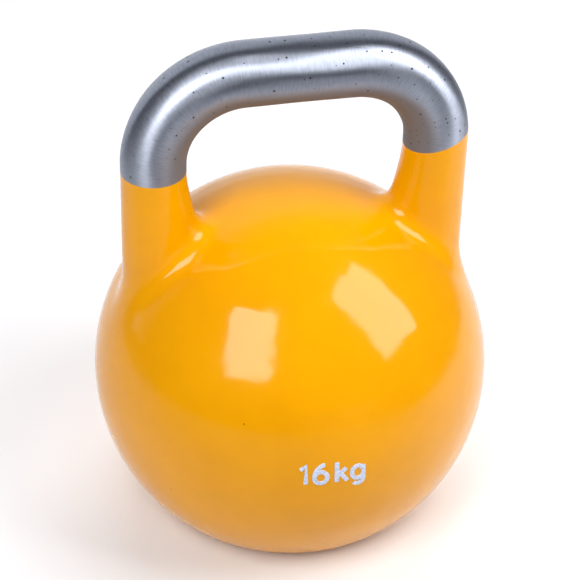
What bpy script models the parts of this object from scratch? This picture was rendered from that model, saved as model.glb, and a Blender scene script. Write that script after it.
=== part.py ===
"""A competition kettlebell: a hollow cast steel ball with two horn roots, a ground steel grip that is
spigoted and welded into the roots, and calibrating ballast clamped to a cover that closes the base.

Metres, +Z up. The origin is the middle of the base, X runs along the grip and -Y is the front."""

import math

import bmesh
import bpy

# Ball
BALL_R = 0.105  # every competition bell has a 210 mm ball, whatever it weighs
BASE_CUT = 0.029  # how much of the ball's height the flat base cuts off
BASE_EDGE_R = 0.016  # rounding between the ball and its base
WALL = 0.009
FLOOR_T = 0.020  # the floor is thick, because it takes the cover screws

# Grip
GRIP_R = 0.0167
HAND_OPENING = 0.060  # from the top of the ball up to the underside of the grip
LEG_INSET = 0.0317  # from the ball's side in to the centreline of each leg
BEND_R = 0.046  # centreline radius of the two bends
SEAM_RISE = 0.026  # from the top of the ball up to the seam, where the paint ends
SPIGOT_R = 0.010
SPIGOT_LENGTH = 0.018

# Horn roots
ROOT_INNER_R = 0.020  # fillet on the side of the hand opening
ROOT_OUTER_R = 0.011  # fillet on the outer side
ROOT_STEPS = 7
ROOT_SINK = 0.030  # how far the root of a horn runs on into the ball's solid, before it is hollowed

# Base cover
HATCH_R = 0.042  # the ballast goes in through this hole
LEDGE_WIDTH = 0.012  # seat around the hatch, which carries the seal and the screws
COVER_RECESS = 0.0015  # keeps the cover off the floor
COVER_T = 0.008
COVER_CHAMFER = 0.001
SEAL_T = 0.001

# Ballast
BALLAST_GAP = 0.001  # around the discs, as they pass the hatch
CROWN_ROOM = 0.021  # free height above the end of the bolt
DISC_COUNT = 6
DISC_CHAMFER = 0.0015
SPACER_LENGTH = 0.0142
SPACER_WALL = 0.005
SHIM_COUNT = 3
SHIM_T = 0.001
SHIM_R = 0.026

# Fasteners, by the radius of their thread
SCREW_COUNT = 6
SCREW_R = 0.002
SCREW_TIP_WALL = 0.0035  # floor metal above the end of each screw
BOLT_R = 0.006
BOLT_END = 0.004  # bolt that shows above its nut
HOLE_CLEARANCE = 0.0005

GAP = 0.0003  # between pieces that touch
OVERCUT = 0.002  # how far a cutter runs past the face it cuts
SEGMENTS = 64


# ---------------------------------------------------------------- tools


def material(name, rgb, roughness, metallic):
    made = bpy.data.materials.get(name)
    if made:
        return made
    made = bpy.data.materials.new(name)
    made.use_nodes = True
    shader = made.node_tree.nodes["Principled BSDF"]
    shader.inputs["Base Color"].default_value = (*rgb, 1)
    shader.inputs["Roughness"].default_value = roughness
    shader.inputs["Metallic"].default_value = metallic
    return made


def enamel():
    return material("yellow_enamel", (0.90, 0.38, 0.01), 0.18, 0.0)


def ground_steel():
    return material("ground_steel", (0.55, 0.56, 0.60), 0.30, 1.0)


def cast_iron():
    return material("cast_iron", (0.10, 0.10, 0.11), 0.65, 0.9)


def zinc_plate():
    return material("zinc_plated_steel", (0.62, 0.63, 0.60), 0.35, 1.0)


def black_rubber():
    return material("black_rubber", (0.02, 0.02, 0.02), 0.80, 0.0)


def put(obj, collection):
    for old in list(obj.users_collection):
        old.objects.unlink(obj)
    collection.objects.link(obj)
    return obj


def new_mesh_object(name, bm, collection):
    mesh = bpy.data.meshes.new(name)
    bm.to_mesh(mesh)
    bm.free()
    obj = bpy.data.objects.new(name, mesh)
    collection.objects.link(obj)
    return obj


def turned(name, profile, collection, segments=SEGMENTS):
    """A solid of revolution about Z. The profile is (radius, z) points that run down the outer side."""
    bm = bmesh.new()
    points = [bm.verts.new((r, 0, z)) for r, z in profile]
    closed = profile[0][0] > 0 or profile[-1][0] > 0
    for a, b in zip(points, points[1:] + points[:1] if closed else points[1:]):
        bm.edges.new((a, b))
    obj = new_mesh_object(name, bm, collection)
    screw = obj.modifiers.new("Turn", "SCREW")
    screw.steps = segments
    screw.render_steps = segments
    screw.use_merge_vertices = True
    screw.merge_threshold = 0.00001
    return obj


def cylinder(name, radius, z0, z1, collection, xy=(0, 0), sides=32):
    bm = bmesh.new()
    bmesh.ops.create_cone(
        bm, cap_ends=True, segments=sides, radius1=radius, radius2=radius, depth=z1 - z0
    )
    obj = new_mesh_object(name, bm, collection)
    obj.location = (*xy, (z0 + z1) / 2)
    return obj


def boolean(obj, other, operation):
    change = obj.modifiers.new(f"{operation}_{other.name}", "BOOLEAN")
    change.operation = operation
    change.object = other
    return change


def cutter(obj):
    obj.hide_render = True
    obj.display_type = "WIRE"
    return obj


def finish(obj, made_of):
    """Gives a piece its material and shades its round faces smooth."""
    obj.data.materials.clear()
    obj.data.materials.append(made_of)
    obj.data.shade_smooth()
    obj.data.set_sharp_from_angle(angle=math.radians(35))
    return obj


def arc(centre, radius, start, end, steps):
    """Points on an arc in the profile's plane. Angles in degrees, from the radius axis towards +Z."""
    return [
        (
            centre[0] + radius * math.cos(math.radians(start + (end - start) * i / steps)),
            centre[1] + radius * math.sin(math.radians(start + (end - start) * i / steps)),
        )
        for i in range(steps + 1)
    ]


def around(count, radius, first=0.0):
    """Evenly spaced (x, y) places on a circle."""
    turn = math.tau / count
    return [
        (radius * math.cos(first + turn * i), radius * math.sin(first + turn * i))
        for i in range(count)
    ]


# ---------------------------------------------------------------- places that several pieces share

BALL_Z = BALL_R - BASE_CUT
BALL_TOP = BALL_Z + BALL_R
LEG_X = BALL_R - LEG_INSET
GRIP_Z = BALL_TOP + HAND_OPENING + GRIP_R  # centreline of the straight part of the grip
SEAM_Z = BALL_TOP + SEAM_RISE
COVER_Z0 = COVER_RECESS
COVER_Z1 = COVER_Z0 + COVER_T
SEAL_Z0 = COVER_Z1 + GAP
SEAL_Z1 = SEAL_Z0 + SEAL_T
LEDGE_Z = SEAL_Z1 + GAP
COVER_R = HATCH_R + LEDGE_WIDTH
SCREW_CIRCLE_R = HATCH_R + LEDGE_WIDTH / 2
SCREW_Z1 = FLOOR_T - SCREW_TIP_WALL
DISC_R = HATCH_R - BALLAST_GAP
BOLT_HOLE_R = BOLT_R + HOLE_CLEARANCE
STACK_Z0 = COVER_Z1 + GAP + SPACER_LENGTH + GAP
BOLT_Z1 = BALL_TOP - WALL - CROWN_ROOM
CLAMP_HEIGHTS = (
    *[(f"trim_shim_{i + 1}", SHIM_T) for i in range(SHIM_COUNT)],
    ("clamp_washer", 0.4 * BOLT_R),
    ("spring_washer", 0.4 * BOLT_R),
    ("clamp_nut", 1.6 * BOLT_R),
)
STACK_Z1 = BOLT_Z1 - BOLT_END - sum(height + GAP for name, height in CLAMP_HEIGHTS)
DISC_T = (STACK_Z1 - STACK_Z0 - (DISC_COUNT - 1) * GAP) / DISC_COUNT  # the discs fill the bolt's length


def clamp_places():
    """The pieces above the ballast discs, from the lowest up, as (name, z0, z1)."""
    places = []
    z = STACK_Z1 + GAP
    for name, height in CLAMP_HEIGHTS:
        places.append((name, z, z + height))
        z += height + GAP
    return places


# ---------------------------------------------------------------- the casting


def ball_profile():
    """The outer ball: its arc, the rounded base edge and the flat base."""
    across = BALL_R - BASE_EDGE_R
    edge_x = math.sqrt(across**2 - (BALL_Z - BASE_EDGE_R) ** 2)
    meet = math.degrees(math.asin((BASE_EDGE_R - BALL_Z) / across))
    upper = arc((0, BALL_Z), BALL_R, 90, 0, 18)
    lower = arc((0, BALL_Z), BALL_R, 0, meet, 8)
    edge = arc((edge_x, BASE_EDGE_R), BASE_EDGE_R, meet, -90, 4)
    return [(0, BALL_Z + BALL_R)] + upper[1:] + lower[1:] + edge[1:] + [(0, 0)]


def cavity_profile():
    """The cored hollow, the hatch and the seat for the cover, as one cutter."""
    inner = BALL_R - WALL
    floor_angle = math.degrees(math.asin((FLOOR_T - BALL_Z) / inner))
    points = arc((0, BALL_Z), inner, 90, floor_angle, 16)
    points[0] = (0, BALL_Z + inner)
    return points + [
        (HATCH_R, FLOOR_T),
        (HATCH_R, LEDGE_Z),
        (COVER_R + GAP, LEDGE_Z),
        (COVER_R + GAP, -OVERCUT),
        (0, -OVERCUT),
    ]


def root_ring(step, sides):
    """One ring of points around a horn: the bar at its top, then along the fillet to the ball.

    In the upright plane at each angle, the fillet is an arc that touches the bar and the ball."""
    ring = []
    for i in range(sides):
        angle = math.tau * i / sides
        inward = (1 - math.cos(angle)) / 2
        fillet = ROOT_OUTER_R + (ROOT_INNER_R - ROOT_OUTER_R) * inward
        ball_u = -LEG_X * math.cos(angle)
        ball_r = math.sqrt(BALL_R**2 - (LEG_X * math.sin(angle)) ** 2)
        u = GRIP_R + fillet
        z = BALL_Z + math.sqrt((ball_r + fillet) ** 2 - (u - ball_u) ** 2)
        if step < 0:
            u, z = GRIP_R, SEAM_Z
        else:
            touch = math.atan2(BALL_Z - z, ball_u - u) % math.tau
            short = math.radians(5)  # ends just off the ball, so that the joint is a clear crossing
            turn = math.pi + (touch - short - math.pi) * step / ROOT_STEPS
            u += fillet * math.cos(turn)
            z += fillet * math.sin(turn)
        ring.append((u * math.cos(angle), u * math.sin(angle), z))
    return ring


def horn_root(name, side, collection):
    """A horn from the seam down into the ball. Its section changes from a circle to the fillet's foot
    on the ball, so it is lofted ring by ring."""
    sides = 32
    rings = [root_ring(step, sides) for step in range(-1, ROOT_STEPS + 1)]
    foot_z = min(z for x, y, z in rings[-1]) - ROOT_SINK
    rings.append([(x, y, foot_z) for x, y in around(sides, GRIP_R)])
    bm = bmesh.new()
    loops = [[bm.verts.new((side * (LEG_X + x), y, z)) for x, y, z in ring] for ring in rings]
    for upper, lower in zip(loops, loops[1:]):
        for i in range(sides):
            j = (i + 1) % sides
            bm.faces.new((upper[i], lower[i], lower[j], upper[j]))
    bm.faces.new(loops[0])
    bm.faces.new(reversed(loops[-1]))
    bmesh.ops.triangulate(bm, faces=[f for f in bm.faces if len(f.verts) == 4])
    bmesh.ops.recalc_face_normals(bm, faces=bm.faces)
    return new_mesh_object(name, bm, collection)


def ball_shell(parts, cutters):
    shell = turned("ball_shell", ball_profile(), parts)
    for side, word in ((-1, "left"), (1, "right")):
        boolean(shell, cutter(horn_root(f"{word}_horn_root", side, cutters)), "UNION")
    boolean(shell, cutter(turned("cavity", cavity_profile(), cutters, 48)), "DIFFERENCE")
    for side, word in ((-1, "left"), (1, "right")):
        socket = cylinder(
            f"{word}_socket",
            SPIGOT_R + GAP,
            SEAM_Z - SPIGOT_LENGTH - GAP,
            SEAM_Z + OVERCUT,
            cutters,
            (side * LEG_X, 0),
            24,
        )
        boolean(shell, cutter(socket), "DIFFERENCE")
    for i, xy in enumerate(around(SCREW_COUNT, SCREW_CIRCLE_R)):
        hole = cylinder(
            f"screw_hole_{i + 1}", SCREW_R + GAP, LEDGE_Z - OVERCUT, SCREW_Z1 + GAP, cutters, xy, 16
        )
        boolean(shell, cutter(hole), "DIFFERENCE")
    return finish(shell, enamel())


# ---------------------------------------------------------------- the grip


def grip_path():
    """Centreline points from the left leg's foot to the right leg's foot."""
    bend_x = LEG_X - BEND_R
    bend_z = GRIP_Z - BEND_R
    foot = (LEG_X, SEAM_Z + GAP)
    right = [foot] + arc((bend_x, bend_z), BEND_R, 0, 90, 10)
    return [(-x, z) for x, z in right] + right[::-1]


def as_mesh(curve_object, name, collection):
    """A welded mesh object made from a curve, because a curve takes no Boolean."""
    bpy.context.view_layer.update()
    graph = bpy.context.evaluated_depsgraph_get()
    mesh = bpy.data.meshes.new_from_object(curve_object.evaluated_get(graph))
    bm = bmesh.new()
    bm.from_mesh(mesh)
    bmesh.ops.remove_doubles(bm, verts=bm.verts, dist=0.00001)
    bmesh.ops.recalc_face_normals(bm, faces=bm.faces)
    bm.to_mesh(mesh)
    bm.free()
    made = bpy.data.objects.new(name, mesh)
    made.matrix_world = curve_object.matrix_world
    collection.objects.link(made)
    bpy.data.objects.remove(curve_object)
    return made


def handle(parts, cutters):
    path = grip_path()
    curve = bpy.data.curves.new("grip_path", "CURVE")
    curve.dimensions = "3D"
    curve.bevel_depth = GRIP_R
    curve.bevel_resolution = 12
    curve.use_fill_caps = True
    spline = curve.splines.new("POLY")
    spline.points.add(len(path) - 1)
    for point, (x, z) in zip(spline.points, path):
        point.co = (x, 0, z, 1)
    tube = bpy.data.objects.new("grip_path", curve)
    parts.objects.link(tube)
    bar = as_mesh(tube, "handle", parts)
    for side, word in ((-1, "left"), (1, "right")):
        spigot = cylinder(
            f"{word}_spigot",
            SPIGOT_R,
            SEAM_Z - SPIGOT_LENGTH,
            SEAM_Z + GRIP_R,
            cutters,
            (side * LEG_X, 0),
            24,
        )
        boolean(bar, cutter(spigot), "UNION")
    return finish(bar, ground_steel())


# ---------------------------------------------------------------- the base cover


def hexagon(name, across_flats, z0, z1, collection):
    return cylinder(name, across_flats / math.sqrt(3), z0, z1, collection, sides=6)


def countersunk_profile(thread_r, top):
    """Half section of a countersunk screw that stands on its head, flush with the cover's underside."""
    head_r = 2 * thread_r
    rim = 0.1 * thread_r
    return [
        (0, top),
        (0.75 * thread_r, top),
        (thread_r, top - 0.25 * thread_r),
        (thread_r, COVER_Z0 + rim + head_r - thread_r),
        (head_r, COVER_Z0 + rim),
        (head_r, COVER_Z0),
        (0, COVER_Z0),
    ]


def countersink(name, thread_r, xy, cutters):
    """The clearance hole and countersink in the cover, for a screw whose head is flush."""
    hole_r = thread_r + HOLE_CLEARANCE
    head_r = 2 * thread_r + GAP
    rim = 0.1 * thread_r + GAP
    profile = [
        (0, COVER_Z1 + OVERCUT),
        (hole_r, COVER_Z1 + OVERCUT),
        (hole_r, COVER_Z0 + rim + head_r - hole_r),
        (head_r, COVER_Z0 + rim),
        (head_r, COVER_Z0 - OVERCUT),
        (0, COVER_Z0 - OVERCUT),
    ]
    obj = turned(name, profile, cutters, 16)
    obj.location = (*xy, 0)
    return cutter(obj)


def base_cover(parts, cutters):
    profile = [
        (0, COVER_Z1),
        (COVER_R, COVER_Z1),
        (COVER_R, COVER_Z0 + COVER_CHAMFER),
        (COVER_R - COVER_CHAMFER, COVER_Z0),
        (0, COVER_Z0),
    ]
    cover = turned("base_cover", profile, parts, 48)
    boolean(cover, countersink("bolt_countersink", BOLT_R, (0, 0), cutters), "DIFFERENCE")
    for i, xy in enumerate(around(SCREW_COUNT, SCREW_CIRCLE_R)):
        boolean(cover, countersink(f"countersink_{i + 1}", SCREW_R, xy, cutters), "DIFFERENCE")
    return finish(cover, zinc_plate())


def cover_seal(parts, cutters):
    profile = [
        (COVER_R - GAP, SEAL_Z1),
        (COVER_R - GAP, SEAL_Z0),
        (HATCH_R + GAP, SEAL_Z0),
        (HATCH_R + GAP, SEAL_Z1),
    ]
    seal = turned("cover_seal", profile, parts, 48)
    for i, xy in enumerate(around(SCREW_COUNT, SCREW_CIRCLE_R)):
        hole = cylinder(
            f"seal_hole_{i + 1}", SCREW_R + GAP, SEAL_Z0 - OVERCUT, SEAL_Z1 + OVERCUT, cutters, xy, 16
        )
        boolean(seal, cutter(hole), "DIFFERENCE")
    return finish(seal, black_rubber())


def key_socket(name, across_flats, depth, xy, cutters):
    """The hexagonal socket for the key, in the head of a screw."""
    socket = hexagon(name, across_flats, COVER_Z0 - OVERCUT, COVER_Z0 + depth, cutters)
    socket.location.x, socket.location.y = xy
    return cutter(socket)


def cover_screws(parts, cutters):
    for i, xy in enumerate(around(SCREW_COUNT, SCREW_CIRCLE_R)):
        name = f"cover_screw_{i + 1}"
        screw = turned(name, countersunk_profile(SCREW_R, SCREW_Z1), parts, 16)
        screw.location = (*xy, 0)
        key = key_socket(f"{name}_key", 1.2 * SCREW_R, 0.7 * SCREW_R, xy, cutters)
        boolean(screw, key, "DIFFERENCE")
        finish(screw, zinc_plate())


# ---------------------------------------------------------------- the ballast and its bolt


def ring_profile(outer_r, z0, z1):
    """Half section of a flat ring with a hole for the bolt."""
    return [(BOLT_HOLE_R, z1), (outer_r, z1), (outer_r, z0), (BOLT_HOLE_R, z0)]


def disc_profile(z0, z1):
    """Half section of a ballast disc, whose rims are chamfered so that it passes the hatch."""
    return [
        (BOLT_HOLE_R, z1),
        (DISC_R - DISC_CHAMFER, z1),
        (DISC_R, z1 - DISC_CHAMFER),
        (DISC_R, z0 + DISC_CHAMFER),
        (DISC_R - DISC_CHAMFER, z0),
        (BOLT_HOLE_R, z0),
    ]


def ballast_discs(parts):
    for i in range(DISC_COUNT):
        z0 = STACK_Z0 + i * (DISC_T + GAP)
        finish(turned(f"ballast_disc_{i + 1}", disc_profile(z0, z0 + DISC_T), parts, 40), cast_iron())


def spacer_tube(parts):
    """Holds the ballast up at the middle of the ball."""
    profile = ring_profile(BOLT_HOLE_R + SPACER_WALL, COVER_Z1 + GAP, STACK_Z0 - GAP)
    finish(turned("spacer_tube", profile, parts, 24), zinc_plate())


def trim_shim(name, z0, z1, parts):
    finish(turned(name, ring_profile(SHIM_R, z0, z1), parts, 32), zinc_plate())


def clamp_washer(name, z0, z1, parts):
    finish(turned(name, ring_profile(2 * BOLT_R, z0, z1), parts, 24), zinc_plate())


def spring_washer(name, z0, z1, parts, cutters):
    """A ring with one slanted cut through it."""
    outer_r = 1.7 * BOLT_R
    ring = turned(name, ring_profile(outer_r, z0, z1), parts, 24)
    bm = bmesh.new()
    bmesh.ops.create_cube(bm, size=1)
    split = new_mesh_object("washer_split", bm, cutters)
    split.scale = (outer_r, 0.2 * BOLT_R, 4 * (z1 - z0))
    split.location = (outer_r, 0, (z0 + z1) / 2)
    split.rotation_euler.x = math.radians(25)
    boolean(ring, cutter(split), "DIFFERENCE")
    finish(ring, zinc_plate())


def clamp_nut(name, z0, z1, parts, cutters):
    nut = hexagon(name, 3 * BOLT_R, z0, z1, parts)
    hole = cylinder("nut_hole", BOLT_R + GAP, z0 - OVERCUT, z1 + OVERCUT, cutters, sides=24)
    boolean(nut, cutter(hole), "DIFFERENCE")
    finish(nut, zinc_plate())


def clamp_pieces(parts, cutters):
    """Everything above the discs that the bolt clamps, and the nut."""
    for name, z0, z1 in clamp_places():
        if name == "clamp_washer":
            clamp_washer(name, z0, z1, parts)
        elif name == "spring_washer":
            spring_washer(name, z0, z1, parts, cutters)
        elif name == "clamp_nut":
            clamp_nut(name, z0, z1, parts, cutters)
        else:
            trim_shim(name, z0, z1, parts)


def ballast_bolt(parts, cutters):
    bolt = turned("ballast_bolt", countersunk_profile(BOLT_R, BOLT_Z1), parts, 24)
    key = key_socket("bolt_key", 1.33 * BOLT_R, 0.7 * BOLT_R, (0, 0), cutters)
    boolean(bolt, key, "DIFFERENCE")
    finish(bolt, zinc_plate())


def main():
    for old in list(bpy.data.objects):
        bpy.data.objects.remove(old)
    parts = bpy.data.collections.new("kettlebell")
    cutters = bpy.data.collections.new("cutters")
    for made in (parts, cutters):
        bpy.context.scene.collection.children.link(made)
    ball_shell(parts, cutters)
    handle(parts, cutters)
    base_cover(parts, cutters)
    cover_seal(parts, cutters)
    cover_screws(parts, cutters)
    spacer_tube(parts)
    ballast_discs(parts)
    clamp_pieces(parts, cutters)
    ballast_bolt(parts, cutters)


main()
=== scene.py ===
import math

import bmesh
import bpy
from mathutils import Matrix, Vector, noise


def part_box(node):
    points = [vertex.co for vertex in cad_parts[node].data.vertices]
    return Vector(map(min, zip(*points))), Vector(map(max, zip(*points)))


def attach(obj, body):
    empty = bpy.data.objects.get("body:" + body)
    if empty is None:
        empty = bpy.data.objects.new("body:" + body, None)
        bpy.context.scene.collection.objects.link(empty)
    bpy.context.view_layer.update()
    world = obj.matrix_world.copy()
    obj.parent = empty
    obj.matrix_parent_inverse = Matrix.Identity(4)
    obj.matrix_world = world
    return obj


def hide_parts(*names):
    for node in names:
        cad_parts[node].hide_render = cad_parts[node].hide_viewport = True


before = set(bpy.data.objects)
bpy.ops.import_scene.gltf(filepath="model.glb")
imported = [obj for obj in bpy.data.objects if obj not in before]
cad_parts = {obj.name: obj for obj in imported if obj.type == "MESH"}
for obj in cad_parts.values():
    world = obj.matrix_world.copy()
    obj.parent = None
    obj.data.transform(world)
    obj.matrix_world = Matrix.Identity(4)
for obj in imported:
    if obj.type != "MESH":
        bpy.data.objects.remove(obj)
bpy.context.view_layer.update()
bpy.context.scene.view_settings.view_transform = "Standard"


# ------------------------------------------------------------------ the enamelled casting
# The ball and its two horn roots are one hollow steel casting with a flat base. It is fettled, primed
# and sprayed with gloss enamel up to the seam on each horn, and its horns flow into the ball.

BALL_R = (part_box("ball_shell")[1].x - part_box("ball_shell")[0].x) / 2
BALL_Z = 0.076  # the middle of the ball
BASE_EDGE_R = 0.016  # the rounded edge round the flat base
SEAM_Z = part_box("ball_shell")[1].z
GRIP_R = (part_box("handle")[1].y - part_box("handle")[0].y) / 2
LEG_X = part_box("handle")[1].x - GRIP_R
HORN_SPARE = 0.015  # a horn starts this much too long, and is then cut at its seam
ROOT_BLEND_INNER = 0.014  # over this distance a horn and the ball melt together, on the hand's side
ROOT_BLEND_OUTER = 0.009  # the same on all other sides
ROOT_REACH = 0.060  # no root reaches further than this from the middle of its horn
FLARE_R = 0.060  # the radius of a horn's long flare on the hand's side
FLARE_MAX = 0.012  # the flare levels off towards this width
CASTING_VOXEL = 0.0015  # the grain of the casting's mesh
PROBE = 0.00002  # the slope of the skin is measured over this distance
NEAR_ENOUGH = 0.000002
BEND_R = 0.046
BEND_X = LEG_X - BEND_R
BEND_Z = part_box("handle")[1].z - GRIP_R - BEND_R
GAP = 0.0003  # between pieces that are pushed together
SPIGOT_R = 0.010
SPIGOT_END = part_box("handle")[0].z
SOCKET_TOOL = 0.032  # the height of the tool that cuts a socket
RIGHT_SEAM_Z = 0.21175
RIGHT_SEAM_RISE = 0.284  # the right seam climbs outwards, by this much per metre
RIGHT_SEAM = {"plane_co": (LEG_X, 0, RIGHT_SEAM_Z), "plane_no": (-RIGHT_SEAM_RISE, 0, 1)}
COVER_R = (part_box("base_cover")[1].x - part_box("base_cover")[0].x) / 2
LEDGE_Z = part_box("cover_seal")[1].z + GAP
HATCH_R = 0.042
MOUTH_CHAMFER = 0.0004  # round the cover's seat, where it meets the flat base
FLOOR_T = 0.020  # the thickness of the ball's floor
WALL = 0.009
OVERCUT = 0.002  # a cutting tool runs this far past the flat base


def srgb(code):
    """The linear colour of a hex code."""
    values = [int(code[i : i + 2], 16) / 255 for i in (1, 3, 5)]
    return (*[v / 12.92 if v <= 0.04045 else ((v + 0.055) / 1.055) ** 2.4 for v in values], 1)


def node(tree, kind, inputs=None, **settings):
    """Adds a node. An input is a value, or another node's output, which is linked to it."""
    made = tree.nodes.new("ShaderNode" + kind)
    for name, value in settings.items():
        setattr(made, name, value)
    for name, value in (inputs or {}).items():
        if isinstance(value, bpy.types.NodeSocket):
            tree.links.new(value, made.inputs[name])
        else:
            made.inputs[name].default_value = value
    return made


def new_material(name):
    """A material with an empty node tree, and its output node."""
    made = bpy.data.materials.new(name)
    made.use_nodes = True
    made.node_tree.nodes.clear()
    return made, made.node_tree, node(made.node_tree, "OutputMaterial")


def start(add, **settings):
    """Adds a primitive with nothing else selected, and returns its object."""
    bpy.ops.object.select_all(action="DESELECT")
    add(**settings)
    return bpy.context.object


def pick(obj, test):
    """Selects, in edit mode, the vertices whose place passes a test, and what lies between them."""
    mesh = bmesh.from_edit_mesh(obj.data)
    for face in mesh.faces:
        face.select_set(False)
    for edge in mesh.edges:
        edge.select_set(False)
    for vertex in mesh.verts:
        vertex.select_set(test(vertex.co))
    mesh.select_flush(True)
    bmesh.update_edit_mesh(obj.data)


def apply_all(obj):
    """Applies an object's place and then its modifiers."""
    bpy.ops.object.select_all(action="DESELECT")
    bpy.context.view_layer.objects.active = obj
    obj.select_set(True)
    bpy.ops.object.transform_apply(location=True, rotation=True, scale=True)
    for modifier in list(obj.modifiers):
        bpy.ops.object.modifier_apply(modifier=modifier.name)


def cut(obj, tool):
    """Takes the tool's shape out of an object, and removes the tool."""
    change = obj.modifiers.new("cut", "BOOLEAN")
    change.operation = "DIFFERENCE"
    change.object = tool
    apply_all(obj)
    bpy.data.objects.remove(tool)


def spun(name, profile, steps):
    """A profile of (radius, z) points, spun round the Z axis. Its first and last points lie on the axis."""
    bpy.ops.object.select_all(action="DESELECT")
    mesh = bpy.data.meshes.new(name)
    mesh.from_pydata([(r, 0, z) for r, z in profile], [(i, i + 1) for i in range(len(profile) - 1)], [])
    obj = bpy.data.objects.new(name, mesh)
    bpy.context.scene.collection.objects.link(obj)
    bpy.context.view_layer.objects.active = obj
    obj.select_set(True)
    bpy.ops.object.mode_set(mode="EDIT")
    bpy.ops.mesh.select_all(action="SELECT")
    bpy.ops.mesh.spin(steps=steps, angle=math.tau, center=(0, 0, 0), axis=(0, 0, 1))
    bpy.ops.mesh.select_all(action="SELECT")
    bpy.ops.mesh.remove_doubles(threshold=0.00001)
    bpy.ops.mesh.normals_make_consistent(inside=False)
    bpy.ops.object.mode_set(mode="OBJECT")
    return obj


def arc(centre, radii, first, last, steps):
    """Points on part of an ellipse, by angles in degrees from its first axis towards its second."""
    turns = [math.radians(first + (last - first) * i / steps) for i in range(steps + 1)]
    return [(centre[0] + radii[0] * math.cos(a), centre[1] + radii[1] * math.sin(a)) for a in turns]


def on_ball(point):
    """The nearest place on the ball, its rounded base edge or its flat base."""
    edge_r = math.sqrt((BALL_R - BASE_EDGE_R) ** 2 - (BALL_Z - BASE_EDGE_R) ** 2)
    radius = math.hypot(point.x, point.y)
    edge = Vector((radius - edge_r, point.z - BASE_EDGE_R))
    meet = Vector((edge_r, BASE_EDGE_R - BALL_Z))
    if edge.x < 0 and point.z < BASE_EDGE_R:
        return Vector((point.x, point.y, 0))
    if edge.y < 0 and meet.x * edge.y - meet.y * edge.x < 0:
        edge.normalize()
        out = edge_r + BASE_EDGE_R * edge.x
        return Vector((point.x / radius * out, point.y / radius * out, BASE_EDGE_R * (1 + edge.y)))
    centre = Vector((0, 0, BALL_Z))
    return centre + (point - centre).normalized() * BALL_R


def skin(point, side):
    """How far a point is outside the casting's skin, near the horn on one side. The horn flares towards the
    hand opening, and melts into the ball over a short distance."""
    across = Vector((side * point.x - LEG_X, point.y))
    u = across.length
    inward = max(0, -across.x / u) ** 2 if u > 0 else 0
    flare = max(0, SEAM_Z - point.z) ** 2 / (2 * FLARE_R)
    from_horn = u - GRIP_R - inward * flare / (1 + flare / FLARE_MAX)
    from_ball = (point - Vector((0, 0, BALL_Z))).length - BALL_R
    blend = ROOT_BLEND_OUTER + (ROOT_BLEND_INNER - ROOT_BLEND_OUTER) * inward
    melt = max(0, blend - abs(from_horn - from_ball)) / blend
    return min(from_horn, from_ball) - melt**2 * blend / 4


def on_casting(point):
    """The nearest place on the casting's skin. At a horn's root it is found by following the skin's slope."""
    side = 1 if point.x > 0 else -1
    if point.z > BEND_Z:
        hub = Vector((side * BEND_X, 0, BEND_Z))
        core = hub + Vector((point.x - hub.x, 0, point.z - hub.z)).normalized() * BEND_R
        return core + (point - core).normalized() * GRIP_R
    if point.z < BALL_Z or math.hypot(side * point.x - LEG_X, point.y) > ROOT_REACH:
        return on_ball(point)
    point = point.copy()
    for attempt in range(6):
        outside = skin(point, side)
        if abs(outside) < NEAR_ENOUGH:
            break
        probes = [point + Vector(step) for step in ((PROBE, 0, 0), (0, PROBE, 0), (0, 0, PROBE))]
        slope = Vector([(skin(probe, side) - outside) / PROBE for probe in probes])
        point -= slope * (outside / slope.length_squared)
    return point


ball = start(
    bpy.ops.mesh.primitive_uv_sphere_add, segments=192, ring_count=96, radius=BALL_R, location=(0, 0, BALL_Z)
)
bpy.ops.object.mode_set(mode="EDIT")
bpy.ops.mesh.select_all(action="SELECT")
bpy.ops.mesh.bisect(plane_co=(0, 0, 0), plane_no=(0, 0, 1), use_fill=True, clear_inner=True)
bpy.ops.object.mode_set(mode="OBJECT")
pieces = [ball]
for side in (-1, 1):
    horn = start(
        bpy.ops.mesh.primitive_cylinder_add,
        vertices=96,
        radius=GRIP_R,
        depth=SEAM_Z + HORN_SPARE - BALL_Z,
        location=(side * LEG_X, 0, (SEAM_Z + HORN_SPARE + BALL_Z) / 2),
    )
    pieces.append(horn)
bpy.ops.object.select_all(action="DESELECT")
for piece in pieces:
    piece.select_set(True)
bpy.context.view_layer.objects.active = ball
bpy.ops.object.join()
casting = ball
casting.name = "enamelled_casting"
casting.data.name = "enamelled_casting"
bpy.ops.object.transform_apply(location=True, rotation=True, scale=True)
remesh = casting.modifiers.new("one_skin", "REMESH")
remesh.mode = "VOXEL"
remesh.voxel_size = CASTING_VOXEL
apply_all(casting)
for vertex in casting.data.vertices:
    vertex.co = on_casting(vertex.co)
bpy.ops.object.mode_set(mode="EDIT")
pick(casting, lambda p: p.x < 0)
bpy.ops.mesh.bisect(plane_co=(0, 0, SEAM_Z), plane_no=(0, 0, 1), use_fill=True, clear_outer=True)
pick(casting, lambda p: p.x > 0)
bpy.ops.mesh.bisect(**RIGHT_SEAM, use_fill=True, clear_outer=True)
bpy.ops.object.mode_set(mode="OBJECT")

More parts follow.
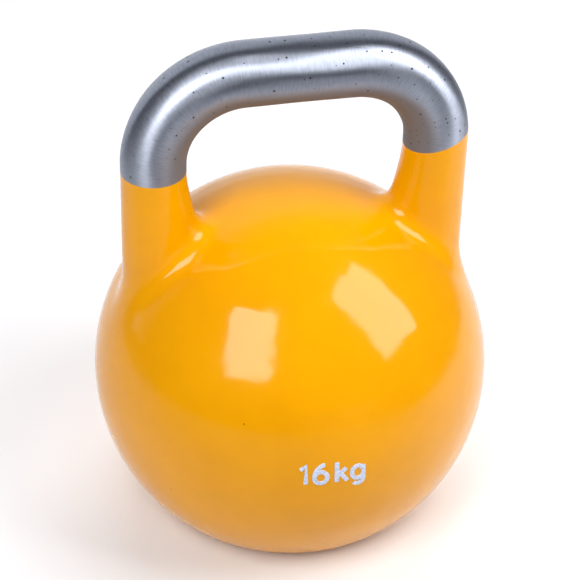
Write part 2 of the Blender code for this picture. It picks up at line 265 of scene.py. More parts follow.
floor_angle = math.degrees(math.asin((FLOOR_T - BALL_Z) / (BALL_R - WALL)))
hollow = arc((0, BALL_Z), (BALL_R - WALL, BALL_R - WALL), 90, floor_angle, 32)
hollow[0] = (0, BALL_Z + BALL_R - WALL)
seat_r = COVER_R + GAP
mouth_r = seat_r + MOUTH_CHAMFER
hollow += [(HATCH_R, FLOOR_T), (HATCH_R, LEDGE_Z), (seat_r, LEDGE_Z), (seat_r, MOUTH_CHAMFER)]
hollow += [(mouth_r, 0), (mouth_r, -OVERCUT), (0, -OVERCUT)]
cut(casting, spun("hollow", hollow, 128))
for side in (-1, 1):
    socket = start(
        bpy.ops.mesh.primitive_cylinder_add,
        vertices=48,
        radius=SPIGOT_R + GAP,
        depth=SOCKET_TOOL,
        location=(side * LEG_X, 0, SPIGOT_END - GAP + SOCKET_TOOL / 2),
    )
    cut(casting, socket)
bpy.ops.object.shade_smooth_by_angle(angle=math.radians(35))

# Gloss enamel, sprayed over primer. It has the slow waves of a thick coat, the finer ripple called orange
# peel, and a few dark specks where pinholes in the casting show through.
enamel, tree, output = new_material("yellow_gloss_enamel")
place = node(tree, "TexCoord").outputs["Object"]
depth_of_coat = node(tree, "TexNoise", {"Vector": place, "Scale": 28, "Detail": 3, "Roughness": 0.6})
colour = node(tree, "ValToRGB", {"Fac": depth_of_coat.outputs["Fac"]})
colour.color_ramp.elements[0].position = 0.30
colour.color_ramp.elements[0].color = srgb("#D89100")
colour.color_ramp.elements[1].position = 0.70
colour.color_ramp.elements[1].color = srgb("#DF9700")
pinholes = node(tree, "TexVoronoi", {"Vector": place, "Scale": 1 / 0.011})
pinhole_kind = node(tree, "SeparateColor", {"Color": pinholes.outputs["Color"]})
pinhole_size = node(
    tree,
    "MapRange",
    {"Value": pinhole_kind.outputs["Red"], "From Min": 0.72, "From Max": 1.0, "To Min": 0.0, "To Max": 0.052},
)
pinhole = node(
    tree,
    "Math",
    {0: pinholes.outputs["Distance"], 1: pinhole_size.outputs["Result"]},
    operation="LESS_THAN",
)
speckled = node(
    tree,
    "Mix",
    {"Factor": pinhole.outputs["Value"], "A": colour.outputs["Color"], "B": srgb("#96600C")},
    data_type="RGBA",
)
gloss = node(
    tree,
    "MapRange",
    {"Value": depth_of_coat.outputs["Fac"], "From Min": 0.3, "From Max": 0.7, "To Min": 0.08, "To Max": 0.13},
)
waves = node(tree, "TexNoise", {"Vector": place, "Scale": 1 / 0.011, "Detail": 1, "Roughness": 0.4})
peel = node(tree, "TexNoise", {"Vector": place, "Scale": 1 / 0.0022, "Detail": 1, "Roughness": 0.5})
wave_bump = node(tree, "Bump", {"Height": waves.outputs["Fac"], "Strength": 1.0, "Distance": 0.00024})
peel_bump = node(
    tree,
    "Bump",
    {
        "Height": peel.outputs["Fac"],
        "Strength": 1.0,
        "Distance": 0.000016,
        "Normal": wave_bump.outputs["Normal"],
    },
)
shader = node(
    tree,
    "BsdfPrincipled",
    {
        "Base Color": speckled.outputs["Result"],
        "Roughness": gloss.outputs["Result"],
        "IOR": 1.365,
        "Normal": peel_bump.outputs["Normal"],
    },
)
tree.links.new(shader.outputs["BSDF"], output.inputs["Surface"])
casting.data.materials.clear()
casting.data.materials.append(enamel)
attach(casting, "root")
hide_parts("ball_shell")


# ------------------------------------------------------------------ the weight mark
# The weight stands a third of a millimetre proud on the front of the ball, as plain cast figures. They
# are wiped with pale paint on a flat pad, which leaves more of it along their edges.

MARK_HEIGHT = 0.0114  # of a figure, without its stroke
MARK_STROKE_R = 0.00125
MARK_PROUD = 0.00032
MARK_SQUASH = 0.6  # a stroke's round section is flattened by this before its top is levelled
MARK_MIDDLE = (1.46, 0.5)  # of all the figures together, in heights of a figure
MARK_Z = 0.0836
MARK_LATITUDE = math.asin((MARK_Z - BALL_Z) / BALL_R)
MARK_LONGITUDE = math.radians(-1.1)

# Each figure is a few strokes, in heights of a figure, from the foot of the one.
strokes = [
    [(0.02, 0.76), (0.27, 1.0), (0.27, 0.0)],
    arc((0.94, 0.31), (0.29, 0.31), 0, 360, 24),
    arc((1.20, 0.33), (0.55, 0.67), 180, 98, 24),
    [(1.66, 1.05), (1.66, 0.0)],
    [(2.10, 0.70), (1.66, 0.32)],
    [(1.82, 0.46), (2.14, 0.0)],
    arc((2.63, 0.36), (0.27, 0.34), 0, 360, 24),
    [(2.90, 0.70), (2.90, -0.02)] + arc((2.64, -0.04), (0.26, 0.24), 0, -140, 24),
]
curve = bpy.data.curves.new("weight_mark", "CURVE")
curve.dimensions = "3D"
curve.bevel_depth = MARK_STROKE_R
curve.bevel_resolution = 3
curve.use_fill_caps = True
for stroke in strokes:
    spline = curve.splines.new("POLY")
    spline.points.add(len(stroke) - 1)
    for point, (x, y) in zip(spline.points, stroke):
        point.co = ((x - MARK_MIDDLE[0]) * MARK_HEIGHT, (y - MARK_MIDDLE[1]) * MARK_HEIGHT, 0, 1)
bpy.ops.object.select_all(action="DESELECT")
mark = bpy.data.objects.new("weight_mark", curve)
bpy.context.scene.collection.objects.link(mark)
bpy.context.view_layer.objects.active = mark
mark.select_set(True)
bpy.ops.object.convert(target="MESH")
mark.data.name = "weight_mark"
remesh = mark.modifiers.new("one_skin", "REMESH")
remesh.mode = "VOXEL"
remesh.voxel_size = MARK_STROKE_R / 5
apply_all(mark)
for vertex in mark.data.vertices:
    longitude = MARK_LONGITUDE + vertex.co.x / BALL_R
    latitude = MARK_LATITUDE + vertex.co.y / BALL_R
    radius = BALL_R + max(-MARK_PROUD, min(MARK_PROUD, vertex.co.z * MARK_SQUASH))
    vertex.co = (
        radius * math.cos(latitude) * math.sin(longitude),
        -radius * math.cos(latitude) * math.cos(longitude),
        BALL_Z + radius * math.sin(latitude),
    )
bpy.ops.object.shade_smooth()

# Pale grey marking paint, rolled on thinly, so that it is mottled.
mark_paint, tree, output = new_material("pale_grey_marking_paint")
place = node(tree, "TexCoord").outputs["Object"]
mottle = node(tree, "TexNoise", {"Vector": place, "Scale": 1 / 0.0009, "Detail": 2, "Roughness": 0.6})
colour = node(tree, "ValToRGB", {"Fac": mottle.outputs["Fac"]})
colour.color_ramp.elements[0].position = 0.38
colour.color_ramp.elements[0].color = srgb("#A9B2CB")
colour.color_ramp.elements[1].position = 0.60
colour.color_ramp.elements[1].color = srgb("#CDD5E8")
rolled = node(tree, "Bump", {"Height": mottle.outputs["Fac"], "Strength": 0.6, "Distance": 0.00006})
shader = node(
    tree,
    "BsdfPrincipled",
    {
        "Base Color": colour.outputs["Color"],
        "Roughness": 0.42,
        "IOR": 1.45,
        "Normal": rolled.outputs["Normal"],
    },
)
tree.links.new(shader.outputs["BSDF"], output.inputs["Surface"])
mark.data.materials.append(mark_paint)
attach(mark, "root")


# ------------------------------------------------------------------ the grip
# A round steel bar, bent twice and ground bare for the hand. The grinding belt runs around the bar, so
# its fine scratches circle it. It leaves faint flats, and small pits of the rough bar stay in the surface.

TOP_Z = BEND_Z + BEND_R
GRIP_SIDES = 128
LEG_STEPS = 4
BEND_STEPS = 48
TOP_STEPS = 36
FLAT_DEPTH = 0.00042  # how far the ground surface wanders from round
FLAT_LENGTH = 0.040
FLATS_ROUND = 2.2  # more of this gives more and narrower flats round the bar
FLATS_DRAW = 7  # which of many random surfaces is used
SEAM_PLAIN = 0.004  # the bar stays round up to this height above the left seam
SEAM_BLEND = 0.012  # the wandering sets in over this height above it
SAME_PLACE = 0.00002  # places closer than this are taken as one
MAP_SCALE = 10  # the grip's map is in tenths of a metre

grip = start(
    bpy.ops.mesh.primitive_circle_add,
    vertices=GRIP_SIDES,
    radius=GRIP_R,
    fill_type="NOTHING",
    location=(-LEG_X, 0, SEAM_Z),
)
bpy.ops.object.mode_set(mode="EDIT")
bpy.ops.mesh.select_all(action="SELECT")
for i in range(LEG_STEPS):
    bpy.ops.mesh.extrude_region_move(TRANSFORM_OT_translate={"value": (0, 0, (BEND_Z - SEAM_Z) / LEG_STEPS)})
bpy.ops.mesh.spin(steps=BEND_STEPS, angle=math.radians(-90), center=(-BEND_X, 0, BEND_Z), axis=(0, 1, 0))
for i in range(TOP_STEPS):
    bpy.ops.mesh.extrude_region_move(TRANSFORM_OT_translate={"value": (BEND_X * 2 / TOP_STEPS, 0, 0)})
bpy.ops.mesh.spin(steps=BEND_STEPS, angle=math.radians(-90), center=(BEND_X, 0, BEND_Z), axis=(0, 1, 0))
for i in range(LEG_STEPS):
    bpy.ops.mesh.extrude_region_move(TRANSFORM_OT_translate={"value": (0, 0, (SEAM_Z - BEND_Z) / LEG_STEPS)})
pick(grip, lambda p: p.x > 0)
bpy.ops.mesh.bisect(**RIGHT_SEAM, clear_inner=True)
bpy.ops.object.mode_set(mode="OBJECT")
grip.name = "ground_grip"
grip.data.name = "ground_grip"
apply_all(grip)


def along_grip(point):
    """The distance along the grip's centreline from the left seam, and the angle round the bar."""
    leg = BEND_Z - SEAM_Z
    bend = BEND_R * math.pi / 2
    x = abs(point.x) - BEND_X
    z = point.z - BEND_Z
    if z <= 0:
        distance, out = leg + z, x - BEND_R
    elif x <= 0:
        distance, out = leg + bend - x, z - BEND_R
    else:
        distance, out = leg + BEND_R * math.atan2(z, x), math.hypot(x, z) - BEND_R
    if point.x > 0:
        distance = 2 * (leg + bend + BEND_X) - distance
    return distance, math.atan2(point.y, out)


def off_centreline(point):
    """The direction from the grip's centreline out to a point on its surface."""
    side = 1 if point.x > 0 else -1
    if point.z <= BEND_Z:
        return (point - Vector((side * LEG_X, 0, point.z))).normalized()
    if abs(point.x) <= BEND_X:
        return (point - Vector((point.x, 0, TOP_Z))).normalized()
    hub = Vector((side * BEND_X, 0, BEND_Z))
    return (point - hub - Vector((point.x - hub.x, 0, point.z - hub.z)).normalized() * BEND_R).normalized()


places = [along_grip(vertex.co) for vertex in grip.data.vertices]
for vertex, (distance, angle) in zip(grip.data.vertices, places):
    fade = min(1, max(0, (vertex.co.z - SEAM_Z - SEAM_PLAIN) / SEAM_BLEND))
    round_bar = (FLATS_ROUND * math.cos(angle) + FLATS_DRAW, FLATS_ROUND * math.sin(angle))
    wander = noise.noise(Vector((distance / FLAT_LENGTH, *round_bar)))
    vertex.co += off_centreline(vertex.co) * (FLAT_DEPTH * fade * wander)

bpy.ops.object.mode_set(mode="EDIT")
for x, z in ((-LEG_X, SEAM_Z), (LEG_X, RIGHT_SEAM_Z)):
    end = Vector((x, 0, z))
    slope = RIGHT_SEAM_RISE if x > 0 else 0
    pick(grip, lambda p: (p.x > 0) == (x > 0) and abs(p.z - z - slope * (p.x - x)) < SAME_PLACE)
    bpy.ops.mesh.extrude_region_move(TRANSFORM_OT_translate={"value": (0, 0, 0)})
    bpy.ops.transform.resize(value=(SPIGOT_R / GRIP_R,) * 3, center_override=end)
    bpy.ops.mesh.extrude_region_move(TRANSFORM_OT_translate={"value": (0, 0, SPIGOT_END - z)})
    bpy.ops.transform.resize(value=(1, 1, 0), center_override=(x, 0, SPIGOT_END))
    bpy.ops.mesh.edge_face_add()
bpy.ops.mesh.select_all(action="SELECT")
bpy.ops.mesh.normals_make_consistent(inside=False)
bpy.ops.object.mode_set(mode="OBJECT")

grip_map = grip.data.uv_layers.new(name="round_and_along")
for face in grip.data.polygons:
    turns = [along_grip(grip.data.vertices[i].co) for i in face.vertices]
    wraps = max(a for d, a in turns) - min(a for d, a in turns) > math.pi
    for loop, (distance, angle) in zip(face.loop_indices, turns):
        angle += math.tau if wraps and angle < 0 else 0
        grip_map.data[loop].uv = (angle * GRIP_R * MAP_SCALE, distance * MAP_SCALE)
bpy.ops.object.shade_smooth_by_angle(angle=math.radians(35))

# Bare steel, ground with a coarse belt and then hand rubbed. Most scratches circle the bar, 0.4 mm apart,
# and a second set crosses them at a slant, 0.6 mm apart. Both are drawn about twice as coarse as the real
# ones, so that they show.
steel, tree, output = new_material("ground_bare_steel")
surface = node(tree, "UVMap", uv_map="round_and_along").outputs["UV"]
belt_lines = node(tree, "Mapping", {"Vector": surface, "Rotation": (0, 0, 0.35), "Scale": (30, 250, 1)})
belt = node(tree, "TexNoise", {"Vector": belt_lines.outputs["Vector"], "Scale": 1, "Detail": 2})
hand_lines = node(tree, "Mapping", {"Vector": surface, "Rotation": (0, 0, -0.12), "Scale": (18, 170, 1)})
hand = node(tree, "TexNoise", {"Vector": hand_lines.outputs["Vector"], "Scale": 1, "Detail": 3})
patches = node(tree, "TexNoise", {"Vector": surface, "Scale": 6, "Detail": 3, "Roughness": 0.55})
scratch_height = node(
    tree, "Math", {0: belt.outputs["Fac"], 1: hand.outputs["Fac"]}, operation="ADD"
)
scratch_bump = node(
    tree, "Bump", {"Height": scratch_height.outputs["Value"], "Strength": 1.0, "Distance": 0.00001}
)
patch_bump = node(
    tree,
    "Bump",
    {
        "Height": patches.outputs["Fac"],
        "Strength": 1.0,
        "Distance": 0.0002,
        "Normal": scratch_bump.outputs["Normal"],
    },
)
roughness = node(
    tree,
    "MapRange",
    {"Value": belt.outputs["Fac"], "From Min": 0.3, "From Max": 0.7, "To Min": 0.37, "To Max": 0.52},
)
bright = node(tree, "ValToRGB", {"Fac": hand.outputs["Fac"]})
bright.color_ramp.elements[0].position = 0.30
bright.color_ramp.elements[0].color = srgb("#9BA0AE")
bright.color_ramp.elements[1].position = 0.62
bright.color_ramp.elements[1].color = srgb("#AEB4C2")
# The belt hardly reaches the inner side of the handle, which stays duller. Its colour is also painted darker
# there: painted shade on the side that faces the ball.
inner_side_dull_and_shaded = node(
    tree,
    "MapRange",
    {
        "Value": node(
            tree,
            "Math",
            {0: node(tree, "SeparateXYZ", {"Vector": surface}).outputs["X"]},
            operation="ABSOLUTE",
        ).outputs["Value"],
        "From Min": 0.25,
        "From Max": 0.35,
    },
    interpolation_type="SMOOTHSTEP",
)
# Painted shade: the steel's colour on the inner side is darkened to #74767E.
dulled_and_shaded = node(
    tree,
    "Mix",
    {"Factor": inner_side_dull_and_shaded.outputs["Result"], "A": bright.outputs["Color"], "B": srgb("#74757C")},
    data_type="RGBA",
)
# The pits lie in cells of 5.5 mm, and more of them stay towards the right seam.
pits = node(tree, "TexVoronoi", {"Vector": surface, "Scale": 1 / 0.055}, voronoi_dimensions="2D")
pit_kind = node(tree, "SeparateColor", {"Color": pits.outputs["Color"]})
from_left_seam = node(tree, "SeparateXYZ", {"Vector": surface}).outputs["Y"]
pit_share = node(
    tree,
    "MapRange",
    {"Value": from_left_seam, "From Min": 1.2, "From Max": 1.9, "To Min": 0.70, "To Max": 0.32},
)
pit_size = node(
    tree,
    "MapRange",
    {
        "Value": pit_kind.outputs["Red"],
        "From Min": pit_share.outputs["Result"],
        "From Max": 1.0,
        "To Min": 0.0,
        "To Max": 0.15,
    },
)
pit_depth = node(
    tree,
    "MapRange",
    {
        "Value": pits.outputs["Distance"],
        "From Min": 0.0,
        "From Max": pit_size.outputs["Result"],
        "To Min": 1.5,
        "To Max": 0.0,
    },
)
pitted = node(
    tree,
    "Mix",
    {"Factor": pit_depth.outputs["Result"], "A": dulled_and_shaded.outputs["Result"], "B": srgb("#0B0C0E")},
    data_type="RGBA",
)
metal = node(tree, "MapRange", {"Value": inner_side_dull_and_shaded.outputs["Result"], "To Min": 1.0, "To Max": 0.55})
worn = node(
    tree,
    "Mix",
    {"Factor": inner_side_dull_and_shaded.outputs["Result"], "A": roughness.outputs["Result"], "B": 0.6},
)
brushed = node(tree, "MapRange", {"Value": inner_side_dull_and_shaded.outputs["Result"], "To Min": 0.78, "To Max": 0.2})
tangent = node(tree, "Tangent", direction_type="UV_MAP", uv_map="round_and_along")
shader = node(
    tree,
    "BsdfPrincipled",
    {
        "Base Color": pitted.outputs["Result"],
        "Metallic": metal.outputs["Result"],
        "Roughness": worn.outputs["Result"],
        "Anisotropic": brushed.outputs["Result"],
        "Anisotropic Rotation": 0.25,
        "Tangent": tangent.outputs["Tangent"],
        "Normal": patch_bump.outputs["Normal"],
    },
)
tree.links.new(shader.outputs["BSDF"], output.inputs["Surface"])
grip.data.materials.append(steel)
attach(grip, "root")
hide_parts("handle")


# ------------------------------------------------------------------ the base cover and its screws
# A turned steel plate closes the hatch in the base, held by six countersunk screws, with the head of the
# long ballast bolt flush in its middle. All are zinc plated, and the plate keeps its turning marks.

COVER_Z0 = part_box("base_cover")[0].z
COVER_Z1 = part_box("base_cover")[1].z
COVER_CHAMFER = 0.001
SCREW_COUNT = 6
SCREW_CIRCLE_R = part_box("cover_screw_1")[0].x / 2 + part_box("cover_screw_1")[1].x / 2
SCREW_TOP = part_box("cover_screw_1")[1].z
SCREW_R = (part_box("cover_screw_1")[1].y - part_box("cover_screw_1")[0].y) / 4
BOLT_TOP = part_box("ballast_bolt")[1].z
BOLT_R = (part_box("ballast_bolt")[1].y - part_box("ballast_bolt")[0].y) / 4
HEAD_RIM = 0.1  # the height of a head's rim, as a share of its thread's radius
THREAD_DEPTH = 0.54  # as a share of the thread's pitch
CREST = (0.06, 0.18)  # a thread's crest lies between these shares of its pitch
HEAD_EDGE = 0.0001
HOLE_CLEARANCE = 0.0005
TOOL_TOP = 0.020  # a cutting tool in the base reaches up to this height


def countersink(name, thread_r):
    """The clearance hole and countersink in the cover, for a screw whose head is flush."""
    hole_r = thread_r + HOLE_CLEARANCE
    head_r = 2 * thread_r + GAP
    rim_z = COVER_Z0 + HEAD_RIM * thread_r + GAP
    profile = [(0, TOOL_TOP), (hole_r, TOOL_TOP), (hole_r, rim_z + head_r - hole_r), (head_r, rim_z)]
    return spun(name, profile + [(head_r, -OVERCUT), (0, -OVERCUT)], 48)


def countersunk_screw(name, thread_r, top, pitch, key_across, key_depth):
    """A screw that stands on its flush head, with rings for its thread and a hexagonal key socket."""
    head_z = COVER_Z0 + HEAD_RIM * thread_r
    neck_z = head_z + thread_r
    core_r = thread_r - THREAD_DEPTH * pitch
    turns = int((top - neck_z - 2 * pitch) / pitch)
    profile = [(0, top), (core_r, top)]
    for i in range(turns):
        z = top - (i + 0.5) * pitch
        profile += [(thread_r, z - pitch * share) for share in CREST] + [(core_r, z - pitch / 2)]
    profile += [(thread_r, neck_z + pitch / 2), (thread_r, neck_z), (2 * thread_r, head_z)]
    profile += [(2 * thread_r, COVER_Z0 + HEAD_EDGE), (2 * thread_r - HEAD_EDGE, COVER_Z0), (0, COVER_Z0)]
    screw = spun(name, profile, 48)
    key = start(
        bpy.ops.mesh.primitive_cylinder_add,
        vertices=6,
        radius=key_across / math.sqrt(3),
        depth=2 * key_depth,
        location=(0, 0, COVER_Z0),
    )
    cut(screw, key)
    bpy.ops.object.shade_smooth_by_angle(angle=math.radians(35))
    return screw


cover = start(
    bpy.ops.mesh.primitive_cylinder_add,
    vertices=192,
    radius=COVER_R,
    depth=COVER_Z1 - COVER_Z0,
    location=(0, 0, (COVER_Z0 + COVER_Z1) / 2),
)
cover.name = "turned_base_cover"
cover.data.name = "turned_base_cover"
bpy.ops.object.transform_apply(location=True, rotation=True, scale=True)
bpy.ops.object.mode_set(mode="EDIT")
pick(cover, lambda p: p.z < COVER_Z0 + SAME_PLACE)
bpy.ops.mesh.bevel(offset=COVER_CHAMFER, segments=1, affect="EDGES")
bpy.ops.object.mode_set(mode="OBJECT")
cut(cover, countersink("bolt_countersink", BOLT_R))
screw_places = []
for i in range(SCREW_COUNT):
    turn = math.tau * i / SCREW_COUNT
    screw_places.append(Vector((SCREW_CIRCLE_R * math.cos(turn), SCREW_CIRCLE_R * math.sin(turn), 0)))
for spot in screw_places:
    tool = countersink("screw_countersink", SCREW_R)
    tool.location = spot
    cut(cover, tool)
bpy.ops.object.shade_smooth_by_angle(angle=math.radians(35))

# Zinc plate on turned steel: a soft bluish silver, a little cloudy, over rings left by the lathe. At this
# scale the rings are half a millimetre apart, about twice as coarse as real ones.
turned_zinc, tree, output = new_material("zinc_plated_turned_steel")
place = node(tree, "TexCoord").outputs["Object"]
rings = node(
    tree,
    "TexWave",
    {"Vector": place, "Scale": 628, "Distortion": 0.0},
    wave_type="RINGS",
    rings_direction="Z",
)
clouds = node(tree, "TexNoise", {"Vector": place, "Scale": 1 / 0.014, "Detail": 4, "Roughness": 0.6})
colour = node(tree, "ValToRGB", {"Fac": clouds.outputs["Fac"]})
colour.color_ramp.elements[0].position = 0.30
colour.color_ramp.elements[0].color = srgb("#A9AEB4")
colour.color_ramp.elements[1].position = 0.70
colour.color_ramp.elements[1].color = srgb("#BEC2C4")
roughness = node(
    tree,
    "MapRange",
    {"Value": clouds.outputs["Fac"], "From Min": 0.3, "From Max": 0.7, "To Min": 0.26, "To Max": 0.42},
)
lathe_bump = node(tree, "Bump", {"Height": rings.outputs["Fac"], "Strength": 1.0, "Distance": 0.000012})
shader = node(
    tree,
    "BsdfPrincipled",
    {
        "Base Color": colour.outputs["Color"],
        "Metallic": 1.0,
        "Roughness": roughness.outputs["Result"],
        "Normal": lathe_bump.outputs["Normal"],
    },
)
tree.links.new(shader.outputs["BSDF"], output.inputs["Surface"])
cover.data.materials.append(turned_zinc)
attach(cover, "root")
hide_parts("base_cover")

# Zinc plate on rolled and drawn steel, as on bought screws and washers: cloudier, and without rings.
zinc, tree, output = new_material("zinc_plated_steel")
place = node(tree, "TexCoord").outputs["Object"]
clouds = node(tree, "TexNoise", {"Vector": place, "Scale": 1 / 0.004, "Detail": 3, "Roughness": 0.6})
colour = node(tree, "ValToRGB", {"Fac": clouds.outputs["Fac"]})
colour.color_ramp.elements[0].position = 0.30
colour.color_ramp.elements[0].color = srgb("#9FA4AB")
colour.color_ramp.elements[1].position = 0.70
colour.color_ramp.elements[1].color = srgb("#C2C6C8")
roughness = node(
    tree,
    "MapRange",
    {"Value": clouds.outputs["Fac"], "From Min": 0.3, "From Max": 0.7, "To Min": 0.28, "To Max": 0.45},
)
grain = node(tree, "TexNoise", {"Vector": place, "Scale": 1 / 0.0005, "Detail": 2})
grain_bump = node(tree, "Bump", {"Height": grain.outputs["Fac"], "Strength": 0.5, "Distance": 0.00002})
shader = node(
    tree,
    "BsdfPrincipled",
    {
        "Base Color": colour.outputs["Color"],
        "Metallic": 1.0,
        "Roughness": roughness.outputs["Result"],
        "Normal": grain_bump.outputs["Normal"],
    },
)
tree.links.new(shader.outputs["BSDF"], output.inputs["Surface"])

first_screw = countersunk_screw(
    "zinc_cover_screw", SCREW_R, SCREW_TOP, pitch=0.0007, key_across=0.0024, key_depth=0.0014
)
first_screw.data.materials.append(zinc)
for i, spot in enumerate(screw_places):
    screw = first_screw.copy()
    screw.data = first_screw.data.copy()
    screw.name = f"zinc_cover_screw_{i + 1}"
    screw.data.name = screw.name
    screw.data.transform(Matrix.Translation(spot))
    bpy.context.scene.collection.objects.link(screw)
    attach(screw, "root")
    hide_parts(f"cover_screw_{i + 1}")
bpy.data.objects.remove(first_screw)

bolt = countersunk_screw(
    "zinc_ballast_bolt", BOLT_R, BOLT_TOP, pitch=0.00175, key_across=0.008, key_depth=0.0042
)
bolt.data.materials.append(zinc)
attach(bolt, "root")
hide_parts("ballast_bolt")


# ------------------------------------------------------------------ the seal
# A flat ring of nitrile rubber, punched from sheet, lies between the cover and its ledge and keeps
# moisture out of the ball. Its CAD shape is right, so it keeps it.

# Sheet rubber: near black, matt, with the fine mottle of the calender and a trace of dust.
rubber, tree, output = new_material("black_nitrile_rubber")
place = node(tree, "TexCoord").outputs["Object"]
mottle = node(tree, "TexNoise", {"Vector": place, "Scale": 1 / 0.0012, "Detail": 3, "Roughness": 0.6})
colour = node(tree, "ValToRGB", {"Fac": mottle.outputs["Fac"]})
colour.color_ramp.elements[0].position = 0.35
colour.color_ramp.elements[0].color = srgb("#18181A")
colour.color_ramp.elements[1].position = 0.75
colour.color_ramp.elements[1].color = srgb("#2B2B2C")
mottle_bump = node(tree, "Bump", {"Height": mottle.outputs["Fac"], "Strength": 0.6, "Distance": 0.00004})
shader = node(
    tree,
    "BsdfPrincipled",
    {
        "Base Color": colour.outputs["Color"],
        "Roughness": 0.78,
        "IOR": 1.52,
        "Normal": mottle_bump.outputs["Normal"],
    },
)
tree.links.new(shader.outputs["BSDF"], output.inputs["Surface"])
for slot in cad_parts["cover_seal"].material_slots:
    slot.material = rubber


# ------------------------------------------------------------------ the ballast and its clamp
# Six sand-cast iron discs bring the bell to its marked weight. A tube of plated steel holds them up, and
# thin shims, two washers and a nut clamp them on the bolt. All of them are hidden inside the ball.

DISC_COUNT = 6

# Grey cast iron, left as it came from the sand: dark grey, with a 0.6 mm grain and patches of light brown
# rust.
iron, tree, output = new_material("sand_cast_iron")
place = node(tree, "TexCoord").outputs["Object"]
sand = node(tree, "TexNoise", {"Vector": place, "Scale": 1 / 0.0006, "Detail": 3, "Roughness": 0.7})
rust = node(tree, "TexNoise", {"Vector": place, "Scale": 1 / 0.018, "Detail": 5, "Roughness": 0.7})
rust_share = node(
    tree,
    "MapRange",
    {"Value": rust.outputs["Fac"], "From Min": 0.56, "From Max": 0.68, "To Min": 0.0, "To Max": 0.7},
)
colour = node(tree, "ValToRGB", {"Fac": sand.outputs["Fac"]})
colour.color_ramp.elements[0].position = 0.30
colour.color_ramp.elements[0].color = srgb("#38393B")
colour.color_ramp.elements[1].position = 0.72
colour.color_ramp.elements[1].color = srgb("#5A5B5D")
rusted = node(
    tree,
    "Mix",
    {"Factor": rust_share.outputs["Result"], "A": colour.outputs["Color"], "B": srgb("#5E3C26")},
    data_type="RGBA",
)
bare = node(
    tree,
    "MapRange",
    {"Value": rust.outputs["Fac"], "From Min": 0.56, "From Max": 0.68, "To Min": 0.8, "To Max": 0.0},
)
sand_bump = node(tree, "Bump", {"Height": sand.outputs["Fac"], "Strength": 0.8, "Distance": 0.00015})
shader = node(
    tree,
    "BsdfPrincipled",
    {
        "Base Color": rusted.outputs["Result"],
        "Metallic": bare.outputs["Result"],
        "Roughness": 0.66,
        "Normal": sand_bump.outputs["Normal"],
    },
)
tree.links.new(shader.outputs["BSDF"], output.inputs["Surface"])
for i in range(DISC_COUNT):
    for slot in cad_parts[f"ballast_disc_{i + 1}"].material_slots:
        slot.material = iron
shims = ["trim_shim_1", "trim_shim_2", "trim_shim_3"]
for name in ["spacer_tube", *shims, "clamp_washer", "spring_washer", "clamp_nut"]:
    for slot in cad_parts[name].material_slots:
        slot.material = zinc


# ------------------------------------------------------------------ the floor, the lights and the camera
# A pale floor, a white wall behind the object and a dim room round the rest. Two softboxes hang close on
# the left and right of the camera. A lamp lights the floor at the back, and a weak low one lights the
# lower half of the ball: those two are seen in no reflection.

TO_BACK = (0.24, 0.97, 0)  # along the floor, away from the camera
TO_RIGHT = (0.97, -0.24, 0)
CAMERA_AIM_Z = 0.130
CAMERA_DISTANCE = 1.18107

floor = start(bpy.ops.mesh.primitive_plane_add, size=8, location=(0, -2.7, 0))
floor.name = "floor"
bpy.ops.object.transform_apply(location=True, rotation=True, scale=True)

# Pale matt paint, with painted shade: darker in front and far out at the sides, where the light falls off
# away from the lamps, and brightest behind the object.
pale, tree, output = new_material("pale_floor_painted_shade")
place = node(tree, "TexCoord").outputs["Object"]
depth = node(tree, "VectorMath", {0: place, 1: TO_BACK}, operation="DOT_PRODUCT")
to_back = node(
    tree,
    "MapRange",
    {"Value": depth.outputs["Value"], "From Min": -0.32, "From Max": 0.0},
    interpolation_type="SMOOTHSTEP",
)
# Painted shade in front of the object, and a painted pool of light behind it.
shade = node(
    tree,
    "Mix",
    {"Factor": to_back.outputs["Result"], "A": srgb("#A2A2A5"), "B": srgb("#EDEDEF")},
    data_type="RGBA",
)
breadth = node(tree, "VectorMath", {0: place, 1: TO_RIGHT}, operation="DOT_PRODUCT")
to_side = node(
    tree,
    "MapRange",
    {
        "Value": node(tree, "Math", {0: breadth.outputs["Value"]}, operation="ABSOLUTE").outputs["Value"],
        "From Min": 0.45,
        "From Max": 0.85,
    },
    interpolation_type="SMOOTHSTEP",
)
# Painted shade far out at the sides.
shade = node(
    tree,
    "Mix",
    {"Factor": to_side.outputs["Result"], "A": shade.outputs["Result"], "B": srgb("#8E8E91")},
    data_type="RGBA",
)
shader = node(tree, "BsdfPrincipled", {"Base Color": shade.outputs["Result"], "Roughness": 0.7})
tree.links.new(shader.outputs["BSDF"], output.inputs["Surface"])
floor.data.materials.append(pale)

# The wall is brightest low down and fades out overhead. Everything that isn't the wall is a dim grey.
world = bpy.data.worlds.new("room")
bpy.context.scene.world = world
world.use_nodes = True
tree = world.node_tree
tree.nodes.clear()
direction = node(tree, "TexCoord").outputs["Generated"]
height = node(tree, "SeparateXYZ", {"Vector": direction}).outputs["Z"]
behind = node(tree, "VectorMath", {0: direction, 1: (-0.14, 0.99, 0)}, operation="DOT_PRODUCT")
wall_top = node(tree, "ValToRGB", {"Fac": height})
wall_top.color_ramp.elements[0].color = (1, 1, 1, 1)
for step, brightness in ((0.10, 0.80), (0.70, 0.80), (0.87, 0.44)):
    wall_top.color_ramp.elements.new(step).color = (brightness, brightness, brightness, 1)
wall_top.color_ramp.elements[-1].position = 0.96
wall_top.color_ramp.elements[-1].color = (0, 0, 0, 1)
wall_side = node(
    tree,
    "MapRange",
    {"Value": behind.outputs["Value"], "From Min": 0.42, "From Max": 0.72},
    interpolation_type="SMOOTHSTEP",
)
wall = node(
    tree,
    "Math",
    {0: wall_top.outputs["Color"], 1: wall_side.outputs["Result"]},
    operation="MULTIPLY",
)
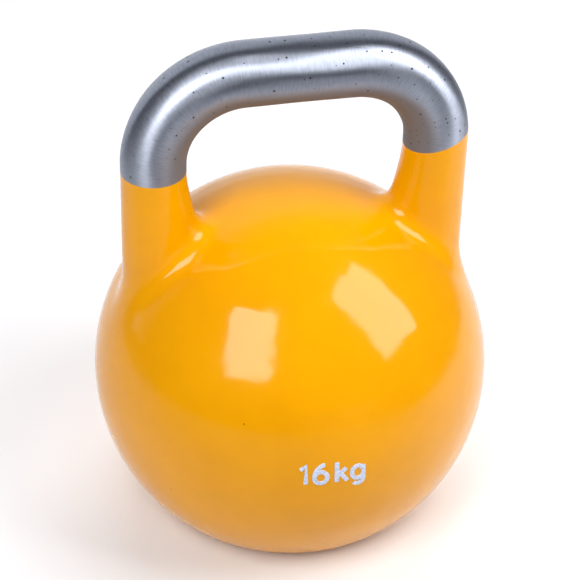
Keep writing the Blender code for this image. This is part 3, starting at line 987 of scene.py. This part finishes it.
light = node(
    tree,
    "Mix",
    {"Factor": wall.outputs["Value"], "A": (0.085, 0.089, 0.098, 1), "B": (0.95, 0.96, 1.0, 1)},
    data_type="RGBA",
)
background = node(tree, "Background", {"Color": light.outputs["Result"]})
tree.links.new(background.outputs["Background"], node(tree, "OutputWorld").inputs["Surface"])


def softbox(name, place, across, along, width, length, radiance):
    """A rectangular softbox. Its width and its length run in the two given directions."""
    light = bpy.data.lights.new(name, "AREA")
    light.shape = "RECTANGLE"
    light.size = width
    light.size_y = length
    light.energy = radiance * width * length * math.pi
    box = bpy.data.objects.new(name, light)
    bpy.context.scene.collection.objects.link(box)
    x = Vector(across).normalized()
    y = (Vector(along) - x * x.dot(Vector(along))).normalized()
    box.matrix_world = Matrix((x, y, x.cross(y))).transposed().to_4x4()
    box.location = place
    return box


softbox(
    "left_softbox",
    place=(-0.429, -0.450, 0.631),
    across=(0.822, -0.541, 0.18),
    along=(0.263, 0.64, 0.722),
    width=0.378,
    length=0.559,
    radiance=8.8,
)
softbox(
    "right_softbox",
    place=(0.507, -0.264, 0.634),
    across=(0.50, 0.864, -0.07),
    along=(-0.58, 0.39, 0.715),
    width=0.42,
    length=0.64,
    radiance=7.2,
)
backdrop_light = softbox(
    "backdrop_light",
    place=(0.25, 1.0, 1.0),
    across=(1, -0.2, 0),
    along=(0, 0.9, -0.3),
    width=1.2,
    length=0.6,
    radiance=5.0,
)
low_fill = softbox(
    "low_fill",
    place=(0.30, -1.15, 0.10),
    across=(0.97, 0.24, 0),
    along=(0, 0, 1),
    width=0.9,
    length=0.2,
    radiance=3.2,
)
for lamp in (backdrop_light, low_fill):
    lamp.visible_glossy = False

azimuth, elevation, roll = math.radians(13.92), math.radians(36.0), math.radians(1.74)
back = Vector(
    (
        -math.sin(azimuth) * math.cos(elevation),
        -math.cos(azimuth) * math.cos(elevation),
        math.sin(elevation),
    )
)
right = (-back).cross(Vector((0, 0, 1))).normalized()
up = right.cross(-back)
camera_data = bpy.data.cameras.new("camera")
camera = bpy.data.objects.new("camera", camera_data)
bpy.context.scene.collection.objects.link(camera)
turned_right = right * math.cos(roll) + up * math.sin(roll)
turned_up = up * math.cos(roll) - right * math.sin(roll)
camera.matrix_world = Matrix((turned_right, turned_up, back)).transposed().to_4x4()
camera.location = Vector((0, 0, CAMERA_AIM_Z)) + back * CAMERA_DISTANCE
camera_data.sensor_width = 36
camera_data.lens = 139.05
camera_data.shift_x = -0.00374
camera_data.shift_y = -0.02109
bpy.context.scene.camera = camera
